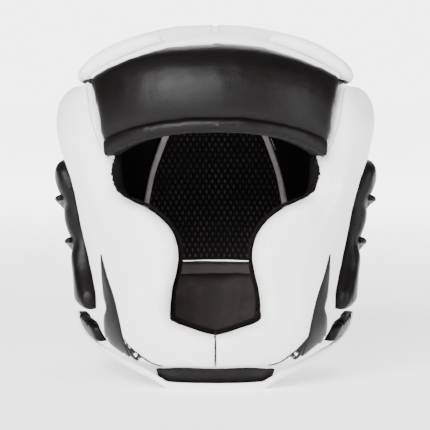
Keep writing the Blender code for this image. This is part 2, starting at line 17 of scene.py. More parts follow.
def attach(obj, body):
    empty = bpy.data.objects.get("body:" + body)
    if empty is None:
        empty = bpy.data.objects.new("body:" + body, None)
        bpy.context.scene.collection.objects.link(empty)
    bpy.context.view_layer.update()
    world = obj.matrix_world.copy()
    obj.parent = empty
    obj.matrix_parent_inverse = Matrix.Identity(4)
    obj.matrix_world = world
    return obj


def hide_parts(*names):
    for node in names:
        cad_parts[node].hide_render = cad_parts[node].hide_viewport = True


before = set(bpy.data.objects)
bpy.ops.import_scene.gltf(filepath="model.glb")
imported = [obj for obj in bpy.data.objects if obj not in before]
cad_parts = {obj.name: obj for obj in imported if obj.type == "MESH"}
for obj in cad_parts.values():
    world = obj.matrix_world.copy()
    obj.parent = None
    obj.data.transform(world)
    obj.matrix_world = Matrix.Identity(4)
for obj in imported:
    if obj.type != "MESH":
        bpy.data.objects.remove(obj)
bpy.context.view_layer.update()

# The camera
# A long lens straight before the face and a little above it. Seams and edges
# seen in the photograph are laid on the leather along this camera's rays.
PHOTO_SIZE = 430
VIEW_DISTANCE = 1.5
VIEW_RISE = math.radians(4)
PIXEL = 0.00077
CENTRE_PIXEL = (215.5, 209.5)
LOOK_AT = Vector((0, -0.0064, 0.1238))
SENSOR = 36.0

camera_data = bpy.data.cameras.new("camera")
camera_data.sensor_width = SENSOR
camera_data.lens = SENSOR * VIEW_DISTANCE / (PHOTO_SIZE * PIXEL)
camera_data.shift_x = (PHOTO_SIZE / 2 - CENTRE_PIXEL[0]) / PHOTO_SIZE
camera_data.shift_y = (CENTRE_PIXEL[1] - PHOTO_SIZE / 2) / PHOTO_SIZE
camera = bpy.data.objects.new("camera", camera_data)
bpy.context.scene.collection.objects.link(camera)
view_back = Vector((0, -math.cos(VIEW_RISE), math.sin(VIEW_RISE)))
view_up = Vector((0, math.sin(VIEW_RISE), math.cos(VIEW_RISE)))
camera.location = LOOK_AT + view_back * VIEW_DISTANCE
camera.rotation_euler = (math.pi / 2 - VIEW_RISE, 0, 0)
bpy.context.scene.camera = camera


def pixel_ray(pixel):
    """The camera's ray through a pixel of the photograph."""
    across = (pixel[0] - CENTRE_PIXEL[0]) * PIXEL
    up = (CENTRE_PIXEL[1] - pixel[1]) * PIXEL
    target = LOOK_AT + Vector((across, 0, 0)) + view_up * up
    return camera.location, (target - camera.location).normalized()


def pixel_of(place):
    """The pixel where the camera sees a place, and how far in front it lies."""
    away = Vector(place) - camera.location
    depth = -away.dot(view_back)
    scale = VIEW_DISTANCE / depth / PIXEL
    return CENTRE_PIXEL[0] + away.x * scale, CENTRE_PIXEL[1] - away.dot(view_up) * scale, depth


# The side shells
# One on each side, from the temple over the cheek to the chin seam: thick foam
# in white leather, lined with black, their covers stretched tight at the edges.
WHITE = (0.87, 0.85, 0.835)
BLACK = (0.0022, 0.0016, 0.0016)
SHELL_VOXEL = 0.0032
SHELL_PUFF = 0.0022
CHIN_STRETCH = 0.012
CHIN_END = 0.0016
LUMP_SIZE = 0.042
LUMP_DEPTH = 0.0010
FINE_LUMP_SIZE = 0.013
FINE_LUMP_DEPTH = 0.00020
SMOOTHING_LOSS = 0.25
PUFF_FRAMES = 20
PUFF_PRESSURE = 4.0
PUFF_STIFFNESS = 25
PUFF_BENDING = 2
PUFF_SHRINK = 0.5
HEAD_MIDDLE_Y = -0.01
HEAD_DOME_Z = 0.17
HEAD_DOME_RISE = 1.5


class Value:
    """A shader socket that takes part in Python sums."""

    def __init__(self, shader, socket):
        self.shader = shader
        self.socket = socket

    def sum(self, operation, first, second=0.0):
        return self.shader.add("ShaderNodeMath", {"operation": operation}, {0: first, 1: second})

    def __add__(self, other):
        return self.sum("ADD", self, other)

    def __radd__(self, other):
        return self.sum("ADD", other, self)

    def __sub__(self, other):
        return self.sum("SUBTRACT", self, other)

    def __rsub__(self, other):
        return self.sum("SUBTRACT", other, self)

    def __mul__(self, other):
        return self.sum("MULTIPLY", self, other)

    def __rmul__(self, other):
        return self.sum("MULTIPLY", other, self)

    def __truediv__(self, other):
        return self.sum("DIVIDE", self, other)

    def of(self, operation, other=0.0):
        """Any other sum of the Math node, such as SINE or FRACT."""
        return self.sum(operation, self, other)

    def band(self, low, high):
        """0 below low, 1 above high, smooth between them."""
        return self.shader.add("ShaderNodeMapRange", {"interpolation_type": "SMOOTHSTEP"},
                               {"Value": self, "From Min": low, "From Max": high})


class Shader:
    """One material and its surface shader."""

    def __init__(self, name, specular=0.5, sheen=0.0):
        self.material = bpy.data.materials.new(name)
        self.material.use_nodes = True
        self.tree = self.material.node_tree
        self.surface = self.tree.nodes["Principled BSDF"]
        self.surface.inputs["Specular IOR Level"].default_value = specular
        self.surface.inputs["Sheen Weight"].default_value = sheen

    def set(self, socket, value):
        if isinstance(value, Value):
            self.tree.links.new(value.socket, socket)
        elif isinstance(value, tuple) and socket.type == "RGBA":
            socket.default_value = (*value, 1)
        else:
            socket.default_value = value

    def add(self, kind, settings, inputs, output=0):
        """A node of any type: its settings first, then its sockets."""
        node = self.tree.nodes.new(kind)
        for name, value in settings.items():
            setattr(node, name, value)
        for name, value in inputs.items():
            self.set(node.inputs[name], value)
        return Value(self, node.outputs[output])

    def place(self, stretch=None):
        """Where a point lies on the object, in metres, each way stretched if asked."""
        place = self.add("ShaderNodeTexCoord", {}, {}, "Object")
        if stretch:
            place = self.add("ShaderNodeVectorMath", {"operation": "MULTIPLY"}, {0: place, 1: stretch})
        return place

    def axis(self, which):
        return self.add("ShaderNodeSeparateXYZ", {}, {0: self.place()}, which)

    def noise(self, scale, detail=3.0, rough=0.5, stretch=None):
        return self.add("ShaderNodeTexNoise", {}, {"Vector": self.place(stretch), "Scale": scale,
                                                   "Detail": detail, "Roughness": rough})

    def cells(self, scale):
        return self.add("ShaderNodeTexVoronoi", {}, {"Vector": self.place(), "Scale": scale})

    def blend(self, factor, first, second):
        """A mix of two colours."""
        return self.add("ShaderNodeMix", {"data_type": "RGBA"}, {0: factor, 6: first, 7: second}, 2)

    def finish(self, colour, roughness, height, depth):
        """Sets the colour, the roughness and the relief, whose depth is in metres."""
        self.set(self.surface.inputs["Base Color"], colour)
        self.set(self.surface.inputs["Roughness"], roughness)
        bump = self.add("ShaderNodeBump", {}, {"Height": height, "Distance": depth})
        self.set(self.surface.inputs["Normal"], bump)
        return self.material


def grain(shader):
    """The relief of leather: pores in cells, under fine wrinkles and soft folds."""
    return shader.cells(1100.0) * 0.25 + shader.noise(240.0, 4.0, 0.6) * 0.45 + shader.noise(70.0, 2.0) * 0.9


def white_leather():
    shader = Shader("white_leather", specular=0.35)
    shade = shader.noise(26.0, 4.0, 0.6).band(0.35, 0.75)
    colour = shader.blend(shade, WHITE, tuple(part * 0.965 for part in WHITE))
    return shader.finish(colour, shader.noise(35.0) * 0.2 + 0.38, grain(shader), 0.0002)


def black_leather(name, colour=BLACK, roughness=0.27, specular=0.13, depth=0.0003):
    shader = Shader(name, specular)
    wear = shader.noise(60.0, 5.0, 0.65).band(0.45, 0.85)
    shade = shader.blend(wear, colour, tuple(part * 1.7 for part in colour))
    return shader.finish(shade, shader.noise(45.0, 4.0) * 0.22 + roughness, grain(shader), depth)


white = white_leather()
black = black_leather("black_leather")
lining = black_leather("black_lining", (0.0028, 0.0021, 0.0021), 0.42, 0.10)


def show(name, mesh, materials, nodes=()):
    """A finished mesh as a piece that rides on the guard and stands for its nodes."""
    piece = bpy.data.objects.new(name, mesh)
    bpy.context.scene.collection.objects.link(piece)
    layers = [face.material_index for face in mesh.polygons]
    mesh.materials.clear()
    for material in materials:
        mesh.materials.append(material)
    mesh.polygons.foreach_set("material_index", layers)
    mesh.shade_smooth()
    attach(piece, "root")
    if nodes:
        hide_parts(*nodes)
    return piece


def vertices_of(mesh):
    places = np.empty(len(mesh.vertices) * 3)
    mesh.vertices.foreach_get("co", places)
    return places.reshape(-1, 3)


def normals_of(mesh):
    ways = np.empty(len(mesh.vertices) * 3)
    mesh.vertex_normals.foreach_get("vector", ways)
    return ways.reshape(-1, 3)


def put_vertices(mesh, places):
    mesh.vertices.foreach_set("co", np.asarray(places, dtype=float).ravel())
    mesh.update()


def solid_of(node):
    """A copy of a plain solid, with its corners joined."""
    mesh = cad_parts[node].data.copy()
    work = bmesh.new()
    work.from_mesh(mesh)
    bmesh.ops.remove_doubles(work, verts=work.verts[:], dist=1e-6)
    work.to_mesh(mesh)
    work.free()
    return mesh


def with_modifiers(piece):
    """The piece's mesh with its modifiers applied, and none left."""
    bpy.context.view_layer.update()
    mesh = bpy.data.meshes.new_from_object(piece.evaluated_get(bpy.context.evaluated_depsgraph_get()))
    old = piece.data
    piece.modifiers.clear()
    piece.data = mesh
    bpy.data.meshes.remove(old)
    return mesh


def smoothed(mesh, rounds, share=0.5):
    """Each vertex moves towards the middle of its neighbours."""
    edges = np.empty(len(mesh.edges) * 2, dtype=int)
    mesh.edges.foreach_get("vertices", edges)
    first, second = edges.reshape(-1, 2).T
    places = vertices_of(mesh)
    count = np.bincount(edges, minlength=len(places))
    for _ in range(rounds):
        middle = [np.bincount(first, places[second, k], len(places))
                  + np.bincount(second, places[first, k], len(places)) for k in range(3)]
        places += (np.array(middle) / count - places.T).T * share
    put_vertices(mesh, places)


def swollen(piece, most):
    """Swells the piece by a short cloth simulation, each point by a limited way."""
    start = vertices_of(piece.data)
    cloth = piece.modifiers.new("swell", "CLOTH")
    cloth.settings.use_pressure = True
    cloth.settings.uniform_pressure_force = PUFF_PRESSURE
    cloth.settings.effector_weights.gravity = 0
    cloth.settings.tension_stiffness = PUFF_STIFFNESS
    cloth.settings.compression_stiffness = PUFF_STIFFNESS
    cloth.settings.bending_stiffness = PUFF_BENDING
    cloth.point_cache.frame_end = PUFF_FRAMES
    for step in range(1, PUFF_FRAMES + 1):
        bpy.context.scene.frame_set(step)
    mesh = with_modifiers(piece)
    bpy.context.scene.frame_set(1)
    moves = vertices_of(mesh) - start
    lengths = np.linalg.norm(moves, axis=1, keepdims=True)
    put_vertices(mesh, start + moves * np.minimum(1, most / np.maximum(lengths, 1e-9)))


def stuffed(mesh, voxel, puff, rounds=3):
    """A solid remeshed in even faces and swollen, as foam swells its cover."""
    piece = bpy.data.objects.new("filling", mesh)
    bpy.context.scene.collection.objects.link(piece)
    remesh = piece.modifiers.new("even", "REMESH")
    remesh.mode = "VOXEL"
    remesh.voxel_size = voxel
    mesh = with_modifiers(piece)
    smoothed(mesh, rounds)
    if puff:
        put_vertices(mesh, vertices_of(mesh) - normals_of(mesh) * puff * PUFF_SHRINK)
        swollen(piece, puff)
        smoothed(piece.data, 2)
    mesh = piece.data
    put_vertices(mesh, vertices_of(mesh) + normals_of(mesh) * voxel * SMOOTHING_LOSS)
    piece.modifiers.new("fine", "SUBSURF").levels = 1
    mesh = with_modifiers(piece)
    bpy.data.objects.remove(piece)
    return mesh


def twin_of(mesh):
    """The same mesh for the other side."""
    twin = mesh.copy()
    put_vertices(twin, vertices_of(twin) * (-1, 1, 1))
    twin.flip_normals()
    return twin


def lumpy(mesh, seed, strength=1.0):
    """Soft uneven swelling, as of foam under leather."""
    for size, depth in ((LUMP_SIZE, LUMP_DEPTH), (FINE_LUMP_SIZE, FINE_LUMP_DEPTH)):
        places = vertices_of(mesh)
        shift = Vector((seed * 7.3, seed * 3.1, seed * 5.7))
        rises = np.array([noise.noise(Vector(place) / size + shift) for place in places])
        put_vertices(mesh, places + normals_of(mesh) * (rises * depth * strength)[:, None])


def line_inside(mesh, limit=-0.25):
    """The second material on the faces that look inwards, to the head."""
    for face in mesh.polygons:
        rise = max(face.center.z - HEAD_DOME_Z, 0) * HEAD_DOME_RISE
        outwards = Vector((face.center.x, face.center.y - HEAD_MIDDLE_Y, rise))
        face.material_index = 1 if face.normal.dot(outwards.normalized()) < limit else 0


def tree_of(*meshes):
    """A search tree over the faces of some meshes, to lay seams on them."""
    points = []
    faces = []
    for mesh in meshes:
        first = len(points)
        points += [vertex.co.copy() for vertex in mesh.vertices]
        faces += [[first + index for index in face.vertices] for face in mesh.polygons]
    return BVHTree.FromPolygons(points, faces)


def side_ray(mark):
    """A level ray from outside to the middle, by turn from the face and by height."""
    angle = math.radians(mark[0])
    way = Vector((math.sin(angle), -math.cos(angle), 0))
    return Vector((0, 0, mark[1])) + way * 0.4, -way


def top_ray(mark):
    """A ray straight down on the crown."""
    return Vector((mark[0], mark[1], 0.5)), Vector((0, 0, -1))


def curve_through(marks, pieces=24):
    """Close points on a smooth curve through the given marks."""
    marks = [np.array(mark, dtype=float) for mark in marks]
    fine = []
    for index in range(len(marks) - 1):
        start, end = marks[index], marks[index + 1]
        before = marks[max(index - 1, 0)]
        after = marks[min(index + 2, len(marks) - 1)]
        for part in np.arange(pieces) / pieces:
            bend = 2 * before - 5 * start + 4 * end - after
            twist = 3 * start - before - 3 * end + after
            fine.append(0.5 * (2 * start + (end - before) * part + bend * part ** 2 + twist * part ** 3))
    return fine + [marks[-1]]


def spaced(path, step):
    """The same path with its points an even step apart."""
    result = path[:1]
    for place, normal in path[1:]:
        gap = (place - result[-1][0]).length
        while gap >= step:
            last_place, last_normal = result[-1]
            share = step / gap
            result.append((last_place.lerp(place, share), last_normal.lerp(normal, share).normalized()))
            gap = (place - result[-1][0]).length
    return result


def laid(tree, ray, marks, step=0.002, lift=0.0):
    """A path through some marks, laid on the leather: places with their normals."""
    path = []
    for mark in curve_through(marks):
        start, way = ray(mark)
        place, normal, _, _ = tree.ray_cast(start, way)
        if place:
            normal = normal if normal.dot(way) < 0 else -normal
            path.append((place + normal * lift, normal))
    return spaced(path, step)


def mirrored(marks):
    """The same pixels on the viewer's right."""
    return [(2 * CENTRE_PIXEL[0] - mark[0], *mark[1:]) for mark in marks]


def press(mesh, path, depth, width):
    """Presses a soft groove into the leather along a path, or lifts a ridge."""
    if not path:
        return
    tree = KDTree(len(path))
    for index, (place, _) in enumerate(path):
        tree.insert(place, index)
    tree.balance()
    places = vertices_of(mesh)
    falls = np.array([tree.find(place)[2] for place in places]) / width
    put_vertices(mesh, places - normals_of(mesh) * (depth * np.exp(-falls ** 2))[:, None])


# The crease where the raised cheek meets the flatter border of the eye cut-out
EYE_CREASE = [(99, 150), (97, 166), (97, 182), (102, 195), (112, 206), (126, 213), (140, 219), (152, 228)]
CREASE = (0.0010, 0.0050)
# Soft folds in the cheek beside the mouth, towards its lower corner
CHEEK_FOLDS = (
    [(160, 226), (167, 240), (169, 256)],
    [(158, 300), (163, 312), (168, 322)],
    [(150, 322), (163, 333), (180, 338)],
    [(92, 110), (90, 128), (93, 146)],
)
FOLD = (0.0005, 0.0035)

# The white leather's edge round the opening; the rim inside it is black
OPENING_EDGE = [(116, 140), (113.6, 160), (111, 170), (112.7, 181), (117, 191), (125.6, 198), (136, 202),
                (145.7, 206), (155, 212), (165, 219.5), (174, 231), (179, 243), (180, 254), (179, 269), (172, 292),
                (170, 314), (172, 321), (190, 328), (215.5, 335.5)]
outline = curve_through(OPENING_EDGE, 6)
outline += [np.array(mark) for mark in reversed(mirrored(outline))]


def in_opening(x, y):
    """Whether a pixel lies inside the opening's white edge."""
    inside = False
    for (ax, ay), (bx, by) in zip(outline, outline[1:] + outline[:1]):
        if (ay > y) != (by > y) and x < ax + (bx - ax) * (y - ay) / (by - ay):
            inside = not inside
    return inside


def line_rim(mesh):
    """The second material on the faces seen inside the opening."""
    for face in mesh.polygons:
        x, y, _ = pixel_of(face.center)
        if 105 < x < 326 and 140 < y < 338 and in_opening(x, y):
            face.material_index = 1


shell_solid = solid_of("side_shell_left")
stretched = vertices_of(shell_solid)
stretched[stretched[:, 0] > -CHIN_END, 0] = CHIN_STRETCH
put_vertices(shell_solid, stretched)
shell_left = stuffed(shell_solid, SHELL_VOXEL, SHELL_PUFF)
work = bmesh.new()
work.from_mesh(shell_left)
cut = bmesh.ops.bisect_plane(work, geom=work.verts[:] + work.edges[:] + work.faces[:],
                             plane_co=(0, 0, 0), plane_no=(1, 0, 0), clear_outer=True)
rim = [item for item in cut["geom_cut"] if isinstance(item, bmesh.types.BMEdge)]
bmesh.ops.triangulate(work, faces=bmesh.ops.contextual_create(work, geom=rim)["faces"])
work.to_mesh(shell_left)
work.free()

shells = {"left": shell_left, "right": twin_of(shell_left)}
for word, mesh in shells.items():
    lumpy(mesh, 1)
    for route, (depth, width) in [(EYE_CREASE, CREASE)] + [(fold, FOLD) for fold in CHEEK_FOLDS]:
        route = route if word == "left" else mirrored(route)
        press(mesh, laid(tree_of(mesh), pixel_ray, route), depth, width)

# The chin seam
# The two shells meet under the mouth in one upright seam, drawn into a shallow
# valley by a row of large stitch holes, each drawn as a dark bead in the thread's material: painted shade of the
# hole.
CHIN_SEAM = [(214.6, 337), (214.6, 347), (214.6, 358), (214.6, 367)]
CHIN_VALLEY = (0.0014, 0.0028)
HOLE_PITCH = 0.0034
HOLE_RADIUS = 0.0009

thread = black_leather("dark_thread", (0.003, 0.0022, 0.0022), 0.6, 0.05)
pale_thread_shader = Shader("pale_thread", 0.2)
pale_thread = pale_thread_shader.finish((0.42, 0.39, 0.38), 0.8, pale_thread_shader.noise(2500.0), 0.0002)


def closed_mesh(points, faces, join=1e-7):
    """A mesh from points and faces, joined where they meet, facing outwards."""
    mesh = bpy.data.meshes.new("made")
    mesh.from_pydata(points, [], faces)
    work = bmesh.new()
    work.from_mesh(mesh)
    bmesh.ops.remove_doubles(work, verts=work.verts[:], dist=join)
    bmesh.ops.recalc_face_normals(work, faces=work.faces[:])
    work.to_mesh(mesh)
    work.free()
    return mesh


def beads(path, size):
    """Small rounded beads along a path: size is half length, half width, half height."""
    rings = [(math.cos(math.pi * k / 5), math.sin(math.pi * k / 5)) for k in range(6)]
    template = [(along, across * math.cos(math.pi * j / 3), across * math.sin(math.pi * j / 3))
                for along, across in rings for j in range(6)]
    points = []
    faces = []
    for (place, normal), (ahead, _) in zip(path, path[1:]):
        way = (ahead - place).normalized()
        across = normal.cross(way).normalized()
        up = way.cross(across)
        first = len(points)
        for a, b, c in template:
            points.append(place + way * (a * size[0]) + across * (b * size[1]) + up * (c * size[2]))
        for ring in range(5):
            for j in range(6):
                corner = first + ring * 6
                faces.append((corner + j, corner + 6 + j, corner + 6 + (j + 1) % 6, corner + (j + 1) % 6))
    return closed_mesh(points, faces)


def stitch_row(name, tree, ray, marks, pitch, size, material, meshes=(), dip=0.0002):
    """A row of stitches on the leather, each in a small dip of its own."""
    path = laid(tree, ray, marks, pitch)
    for mesh in meshes:
        press(mesh, path, dip, size[0] * 1.4)
    return show(name, beads(path, size), (material,))


both_shells = tree_of(*shells.values())
chin_path = laid(both_shells, pixel_ray, CHIN_SEAM, 0.001)
for mesh in shells.values():
    press(mesh, chin_path, *CHIN_VALLEY)
both_shells = tree_of(*shells.values())
# The dark beads of the chin holes are painted shade of the holes.
stitch_row("chin_seam_holes_painted_shade", both_shells, pixel_ray, CHIN_SEAM, HOLE_PITCH,
           (HOLE_RADIUS, HOLE_RADIUS, HOLE_RADIUS * 0.5), thread, shells.values())

# Seam stitches on the white, close outside the forehead pad's side edges
PAD_SIDE_SEAM = [(86.5, 88), (88, 98), (91, 118), (98, 141), (103.5, 151), (111, 160)]
SIDE_STITCH = (0.00062, 0.00026, 0.00022)
SIDE_STITCH_PITCH = 0.0017
for word, mesh in shells.items():
    route = PAD_SIDE_SEAM if word == "left" else mirrored(PAD_SIDE_SEAM)
    stitch_row("pad_side_stitches_" + word, both_shells, pixel_ray, route, SIDE_STITCH_PITCH,
               SIDE_STITCH, thread, (mesh,))
    line_inside(mesh)
    line_rim(mesh)
    show("side_shell_%s_leather" % word, mesh, (white, lining), ["side_shell_" + word])

# The jaw insets
# A long black flash and a thin crescent low on each jaw, cut from black leather
# and sewn flush into the white, so they hardly stand out from it.
FLASH_INNER = [(101.6, 254.5), (106.9, 274.8), (114.1, 297), (119.5, 319.7), (123.3, 336.9), (131.6, 360)]
FLASH_OUTER = [(101.2, 254.5), (101.7, 276.6), (103.4, 295.5), (106, 308.4), (103.8, 318), (104.8, 333.4),
               (109.5, 344.7), (125.9, 356), (131.4, 360.2)]
CRESCENT_INNER = [(126.7, 342.9), (134.5, 355.9), (146.6, 366.2), (161, 372.2)]
CRESCENT_OUTER = [(126.3, 343.1), (130.2, 354.1), (139.7, 364), (151.7, 370.8), (160.8, 372.6)]
INSET_RISE = 0.0009
INSET_DEPTH = 0.0012
INSET_GRID = (72, 8)
inset_leather = black_leather("inset_leather", (0.005, 0.0037, 0.0036), 0.33, 0.16)


def strip_between(tree, ray, one_side, other_side, rise, depth, grid=INSET_GRID):
    """A thin closed patch on the leather, between two lines that meet at its tips."""
    along, across = grid
    sides = [curve_through(line) for line in (one_side, other_side)]
    tops = []
    feet = []
    for row in range(along + 1):
        ends = []
        for line in sides:
            place = row / along * (len(line) - 1)
            low = min(int(place), len(line) - 2)
            ends.append(line[low] + (line[low + 1] - line[low]) * (place - low))
        for column in range(across + 1):
            share = column / across
            start, way = ray(ends[0] + (ends[1] - ends[0]) * share)
            place, normal, _, _ = tree.ray_cast(start, way)
            if place is None:
                place, normal, _, _ = tree.find_nearest(start + way * (VIEW_DISTANCE - 0.09))
            normal = normal if normal.dot(way) < 0 else -normal
            tops.append(place + normal * rise * (1 - 0.8 * (2 * share - 1) ** 4))
            feet.append(place - normal * depth)
    wide = across + 1
    count = len(tops)
    faces = []
    for row in range(along):
        for column in range(across):
            a = row * wide + column
            square = (a, a + 1, a + wide + 1, a + wide)
            faces.append(square)
            faces.append(tuple(count + index for index in reversed(square)))
    border = ([row * wide for row in range(along + 1)] + [along * wide + column for column in range(1, wide)]
              + [row * wide + across for row in range(along - 1, -1, -1)] + list(range(across - 1, 0, -1)))
    for start, end in zip(border, border[1:] + border[:1]):
        faces.append((start, end, count + end, count + start))
    return closed_mesh(tops + feet, faces, 1e-6)


for word in ("left", "right"):
    for name, *lines in (("jaw_flash", FLASH_INNER, FLASH_OUTER),
                         ("jaw_crescent", CRESCENT_INNER, CRESCENT_OUTER)):
        inner, outer = lines if word == "left" else map(mirrored, lines)
        mesh = strip_between(both_shells, pixel_ray, inner, outer, INSET_RISE, INSET_DEPTH)
        show("%s_%s_inset" % (name, word), mesh, (inset_leather,), [name + "_" + word])

# The face trims
# A black suede-like edging sewn over the rim of the opening: thin with close
# saw-tooth stitches at the eyes, thicker and rope-like round the mouth.
TRIM_MARKS = [
    # x, y, radius in pixels
    (114.6, 161.5, 1.0), (112.6, 170.5, 1.0), (114.3, 180.6, 1.0), (118.3, 189.8, 1.0), (126.3, 196.8, 1.2),
    (136.6, 200.6, 1.4), (146.4, 204.4, 1.6), (156.0, 210.6, 1.8), (165.6, 219.2, 2.0), (174.6, 231.0, 2.1),
    (179.4, 243.2, 2.3), (180.4, 254.0, 2.4), (179.4, 269.0, 2.5), (173.6, 292.0, 3.0), (172.8, 312.0, 3.2),
    (174.6, 318.6, 3.2), (191.0, 325.4, 3.1), (204.0, 329.6, 3.0), (215.3, 333.0, 3.0),
]
TRIM_TOOTH_PITCH = 0.00125
TRIM_TOOTH_DEPTH = 0.22
TRIM_STEP = 0.0003
TRIM_SIDES = 10
TRIM_FOLLOW = 0.3

suede_shader = Shader("trim_suede", 0.05, sheen=0.02)
suede_colour = suede_shader.blend(suede_shader.noise(900.0, 4.0, 0.7).band(0.35, 0.7), (0.0025, 0.0017, 0.0016),
                                  (0.010, 0.0072, 0.0066))
suede = suede_shader.finish(suede_colour, 0.9, suede_shader.noise(1600.0, 4.0, 0.7), 0.0005)


def tube(path, radius, sides=TRIM_SIDES, flat=1.0, tooth=(1.0, 0.0, 0)):
    """A roll along a path; radius may be a list, tooth is the ripple's pitch, depth and twist."""
    points = []
    distance = 0.0
    pitch, ripple_depth, twist = tooth
    for index, (place, normal) in enumerate(path):
        ahead = path[min(index + 1, len(path) - 1)][0]
        behind = path[max(index - 1, 0)][0]
        way = (ahead - behind).normalized()
        across = normal.cross(way).normalized()
        up = way.cross(across)
        distance += (place - behind).length
        size = radius[index] if isinstance(radius, list) else radius
        for j in range(sides):
            angle = 2 * math.pi * j / sides
            ripple = 1 + ripple_depth * math.sin(2 * math.pi * distance / pitch + twist * angle)
            offset = across * math.cos(angle) + up * math.sin(angle) * flat
            points.append(place + offset * size * ripple)
    faces = []
    for index in range(len(path) - 1):
        for j in range(sides):
            near, next_near = index * sides + j, index * sides + (j + 1) % sides
            faces.append((near, next_near, next_near + sides, near + sides))
    faces.append(tuple(reversed(range(sides))))
    faces.append(tuple(range(len(points) - sides, len(points))))
    return closed_mesh(points, faces)


for word in ("left", "right"):
    path = []
    sizes = []
    depth = VIEW_DISTANCE - 0.1
    for x, y, size in curve_through(TRIM_MARKS if word == "left" else mirrored(TRIM_MARKS)):
        start, way = pixel_ray((x, y))
        place, _, _, reach = both_shells.ray_cast(start, way)
        if place:
            depth += (reach - depth) * TRIM_FOLLOW
        path.append((start + way * depth, view_back))
        sizes.append(size * PIXEL)
    finder = KDTree(len(path))
    for index, (place, _) in enumerate(path):
        finder.insert(place, index)
    finder.balance()
    path = spaced(path, TRIM_STEP)
    radii = [sizes[finder.find(place)[1]] for place, _ in path]
    mesh = tube(path, radii, tooth=(TRIM_TOOTH_PITCH, TRIM_TOOTH_DEPTH, 1))
    show("face_trim_%s_edging" % word, mesh, (suede,), ["face_trim_" + word])

# The forehead pad
# One wide block of foam in black leather over the brow, crowned from edge to
# edge, sewn to both shells and under the white binding.
PAD_PUFF = 0.0026
PAD_VOXEL = 0.003
PAD_WRINKLES = (
    [(240, 121), (241, 112)], [(246, 121), (247, 110)], [(252, 121), (252.5, 112)], [(259, 122), (258, 114)],
    [(118, 136), (114, 124)], [(125, 132), (121, 122)], [(303, 130), (307, 120)], [(312, 134), (315, 122)],
    [(232, 42), (240, 45), (250, 44)], [(205, 43), (214, 45)], [(110, 75), (116, 82)], [(318, 82), (312, 90)],
)
PAD_WRINKLE = (0.00035, 0.0011)

# Foot and top of the pad's outline, as height at the middle and fall to its sides;
# the lower corners also reach outwards by a share of the width
PAD_HALF_WIDTH = 0.0919
PAD_FOOT = (0.1941, 0.0163)
PAD_TOP = (0.2546, 0.0289)
PAD_EDGE = 0.012
PAD_DRAW = 0.003
SIDE_REACH = 0.035


def drawn_out(solid, foot, top, edge, down, up, half_width=PAD_HALF_WIDTH):
    """Draws a pad's lower and upper edges out, to make up for their rounding."""
    places = vertices_of(solid)
    fall = (np.abs(places[:, 0]) / half_width) ** 2
    low = np.clip(1 - (places[:, 2] - foot[0] + foot[1] * fall) / edge, 0, 1)
    high = np.clip(1 - (top[0] - top[1] * fall - places[:, 2]) / edge, 0, 1)
    places[:, 2] += up * high - down * low
    places[:, 0] *= 1 + SIDE_REACH * low
    put_vertices(solid, places)
    return solid


pad_solid = drawn_out(solid_of("forehead_pad"), PAD_FOOT, PAD_TOP, PAD_EDGE, PAD_DRAW, PAD_DRAW)
pad_mesh = stuffed(pad_solid, PAD_VOXEL, PAD_PUFF)
lumpy(pad_mesh, 3, 0.7)
for route in PAD_WRINKLES:
    press(pad_mesh, laid(tree_of(pad_mesh), pixel_ray, route, 0.001), *PAD_WRINKLE)
show("forehead_pad_leather", pad_mesh, (black,), ["forehead_pad"])

# The brow roll
# A slimmer roll of black leather along the foot of the forehead pad, pinched
# by the seam between them; its raw inner edge is trimmed close.
BROW_VOXEL = 0.0021
BROW_WRINKLES = (
    [(119, 149), (121, 153)], [(127, 144), (129, 148)], [(139, 139), (141, 144)], [(176, 128), (178, 133)],
    [(236, 126), (238, 131)], [(289, 137), (287, 142)], [(300, 142), (297, 147)], [(307, 146), (305, 151)],
)
BROW_HALF_WIDTH = 0.0823
BROW_FOOT = (0.1870, 0.0192)
BROW_TOP = (0.1936, 0.0163)
BROW_EDGE = 0.004
BROW_DRAW = 0.0035
BROW_WRINKLE = (0.0003, 0.0009)
brow_solid = drawn_out(solid_of("brow_roll"), BROW_FOOT, BROW_TOP, BROW_EDGE, 0, BROW_DRAW, BROW_HALF_WIDTH)
brow_mesh = stuffed(brow_solid, BROW_VOXEL, 0, 3)
lumpy(brow_mesh, 4, 0.6)
for route in BROW_WRINKLES:
    press(brow_mesh, laid(tree_of(brow_mesh), pixel_ray, route, 0.001), *BROW_WRINKLE)
show("brow_roll_leather", brow_mesh, (black,), ["brow_roll"])

# The forehead binding
# A white leather band folded over the top edge of the forehead pad, held by a
# row of stitches whose holes show on the white as grey beads: painted shade of the holes.
BINDING_ROW = [(91, 71.5), (104, 64.5), (126, 55.5), (156, 41.5), (190, 34), (215, 32.5), (251, 35.5), (268, 40),
               (289, 48), (308, 56), (326, 66), (334, 71)]
HOLE_STITCH = (0.00042, 0.00030, 0.00016)
binding_mesh = stuffed(solid_of("forehead_binding"), 0.0016, 0, 3)
lumpy(binding_mesh, 5, 0.3)
binding_tree = tree_of(binding_mesh)
# The grey of the stitch-hole beads is painted shade of the holes.
hole_shader = Shader("stitch_hole_painted_shade", 0.2)
painted_hole_shade = hole_shader.finish((0.10, 0.085, 0.08), 0.8, hole_shader.noise(1500.0), 0.0001)
stitch_row("forehead_binding_stitches", binding_tree, pixel_ray, BINDING_ROW, 0.0022, HOLE_STITCH, painted_hole_shade,
           (binding_mesh,))
show("forehead_binding_leather", binding_mesh, (white,), ["forehead_binding"])

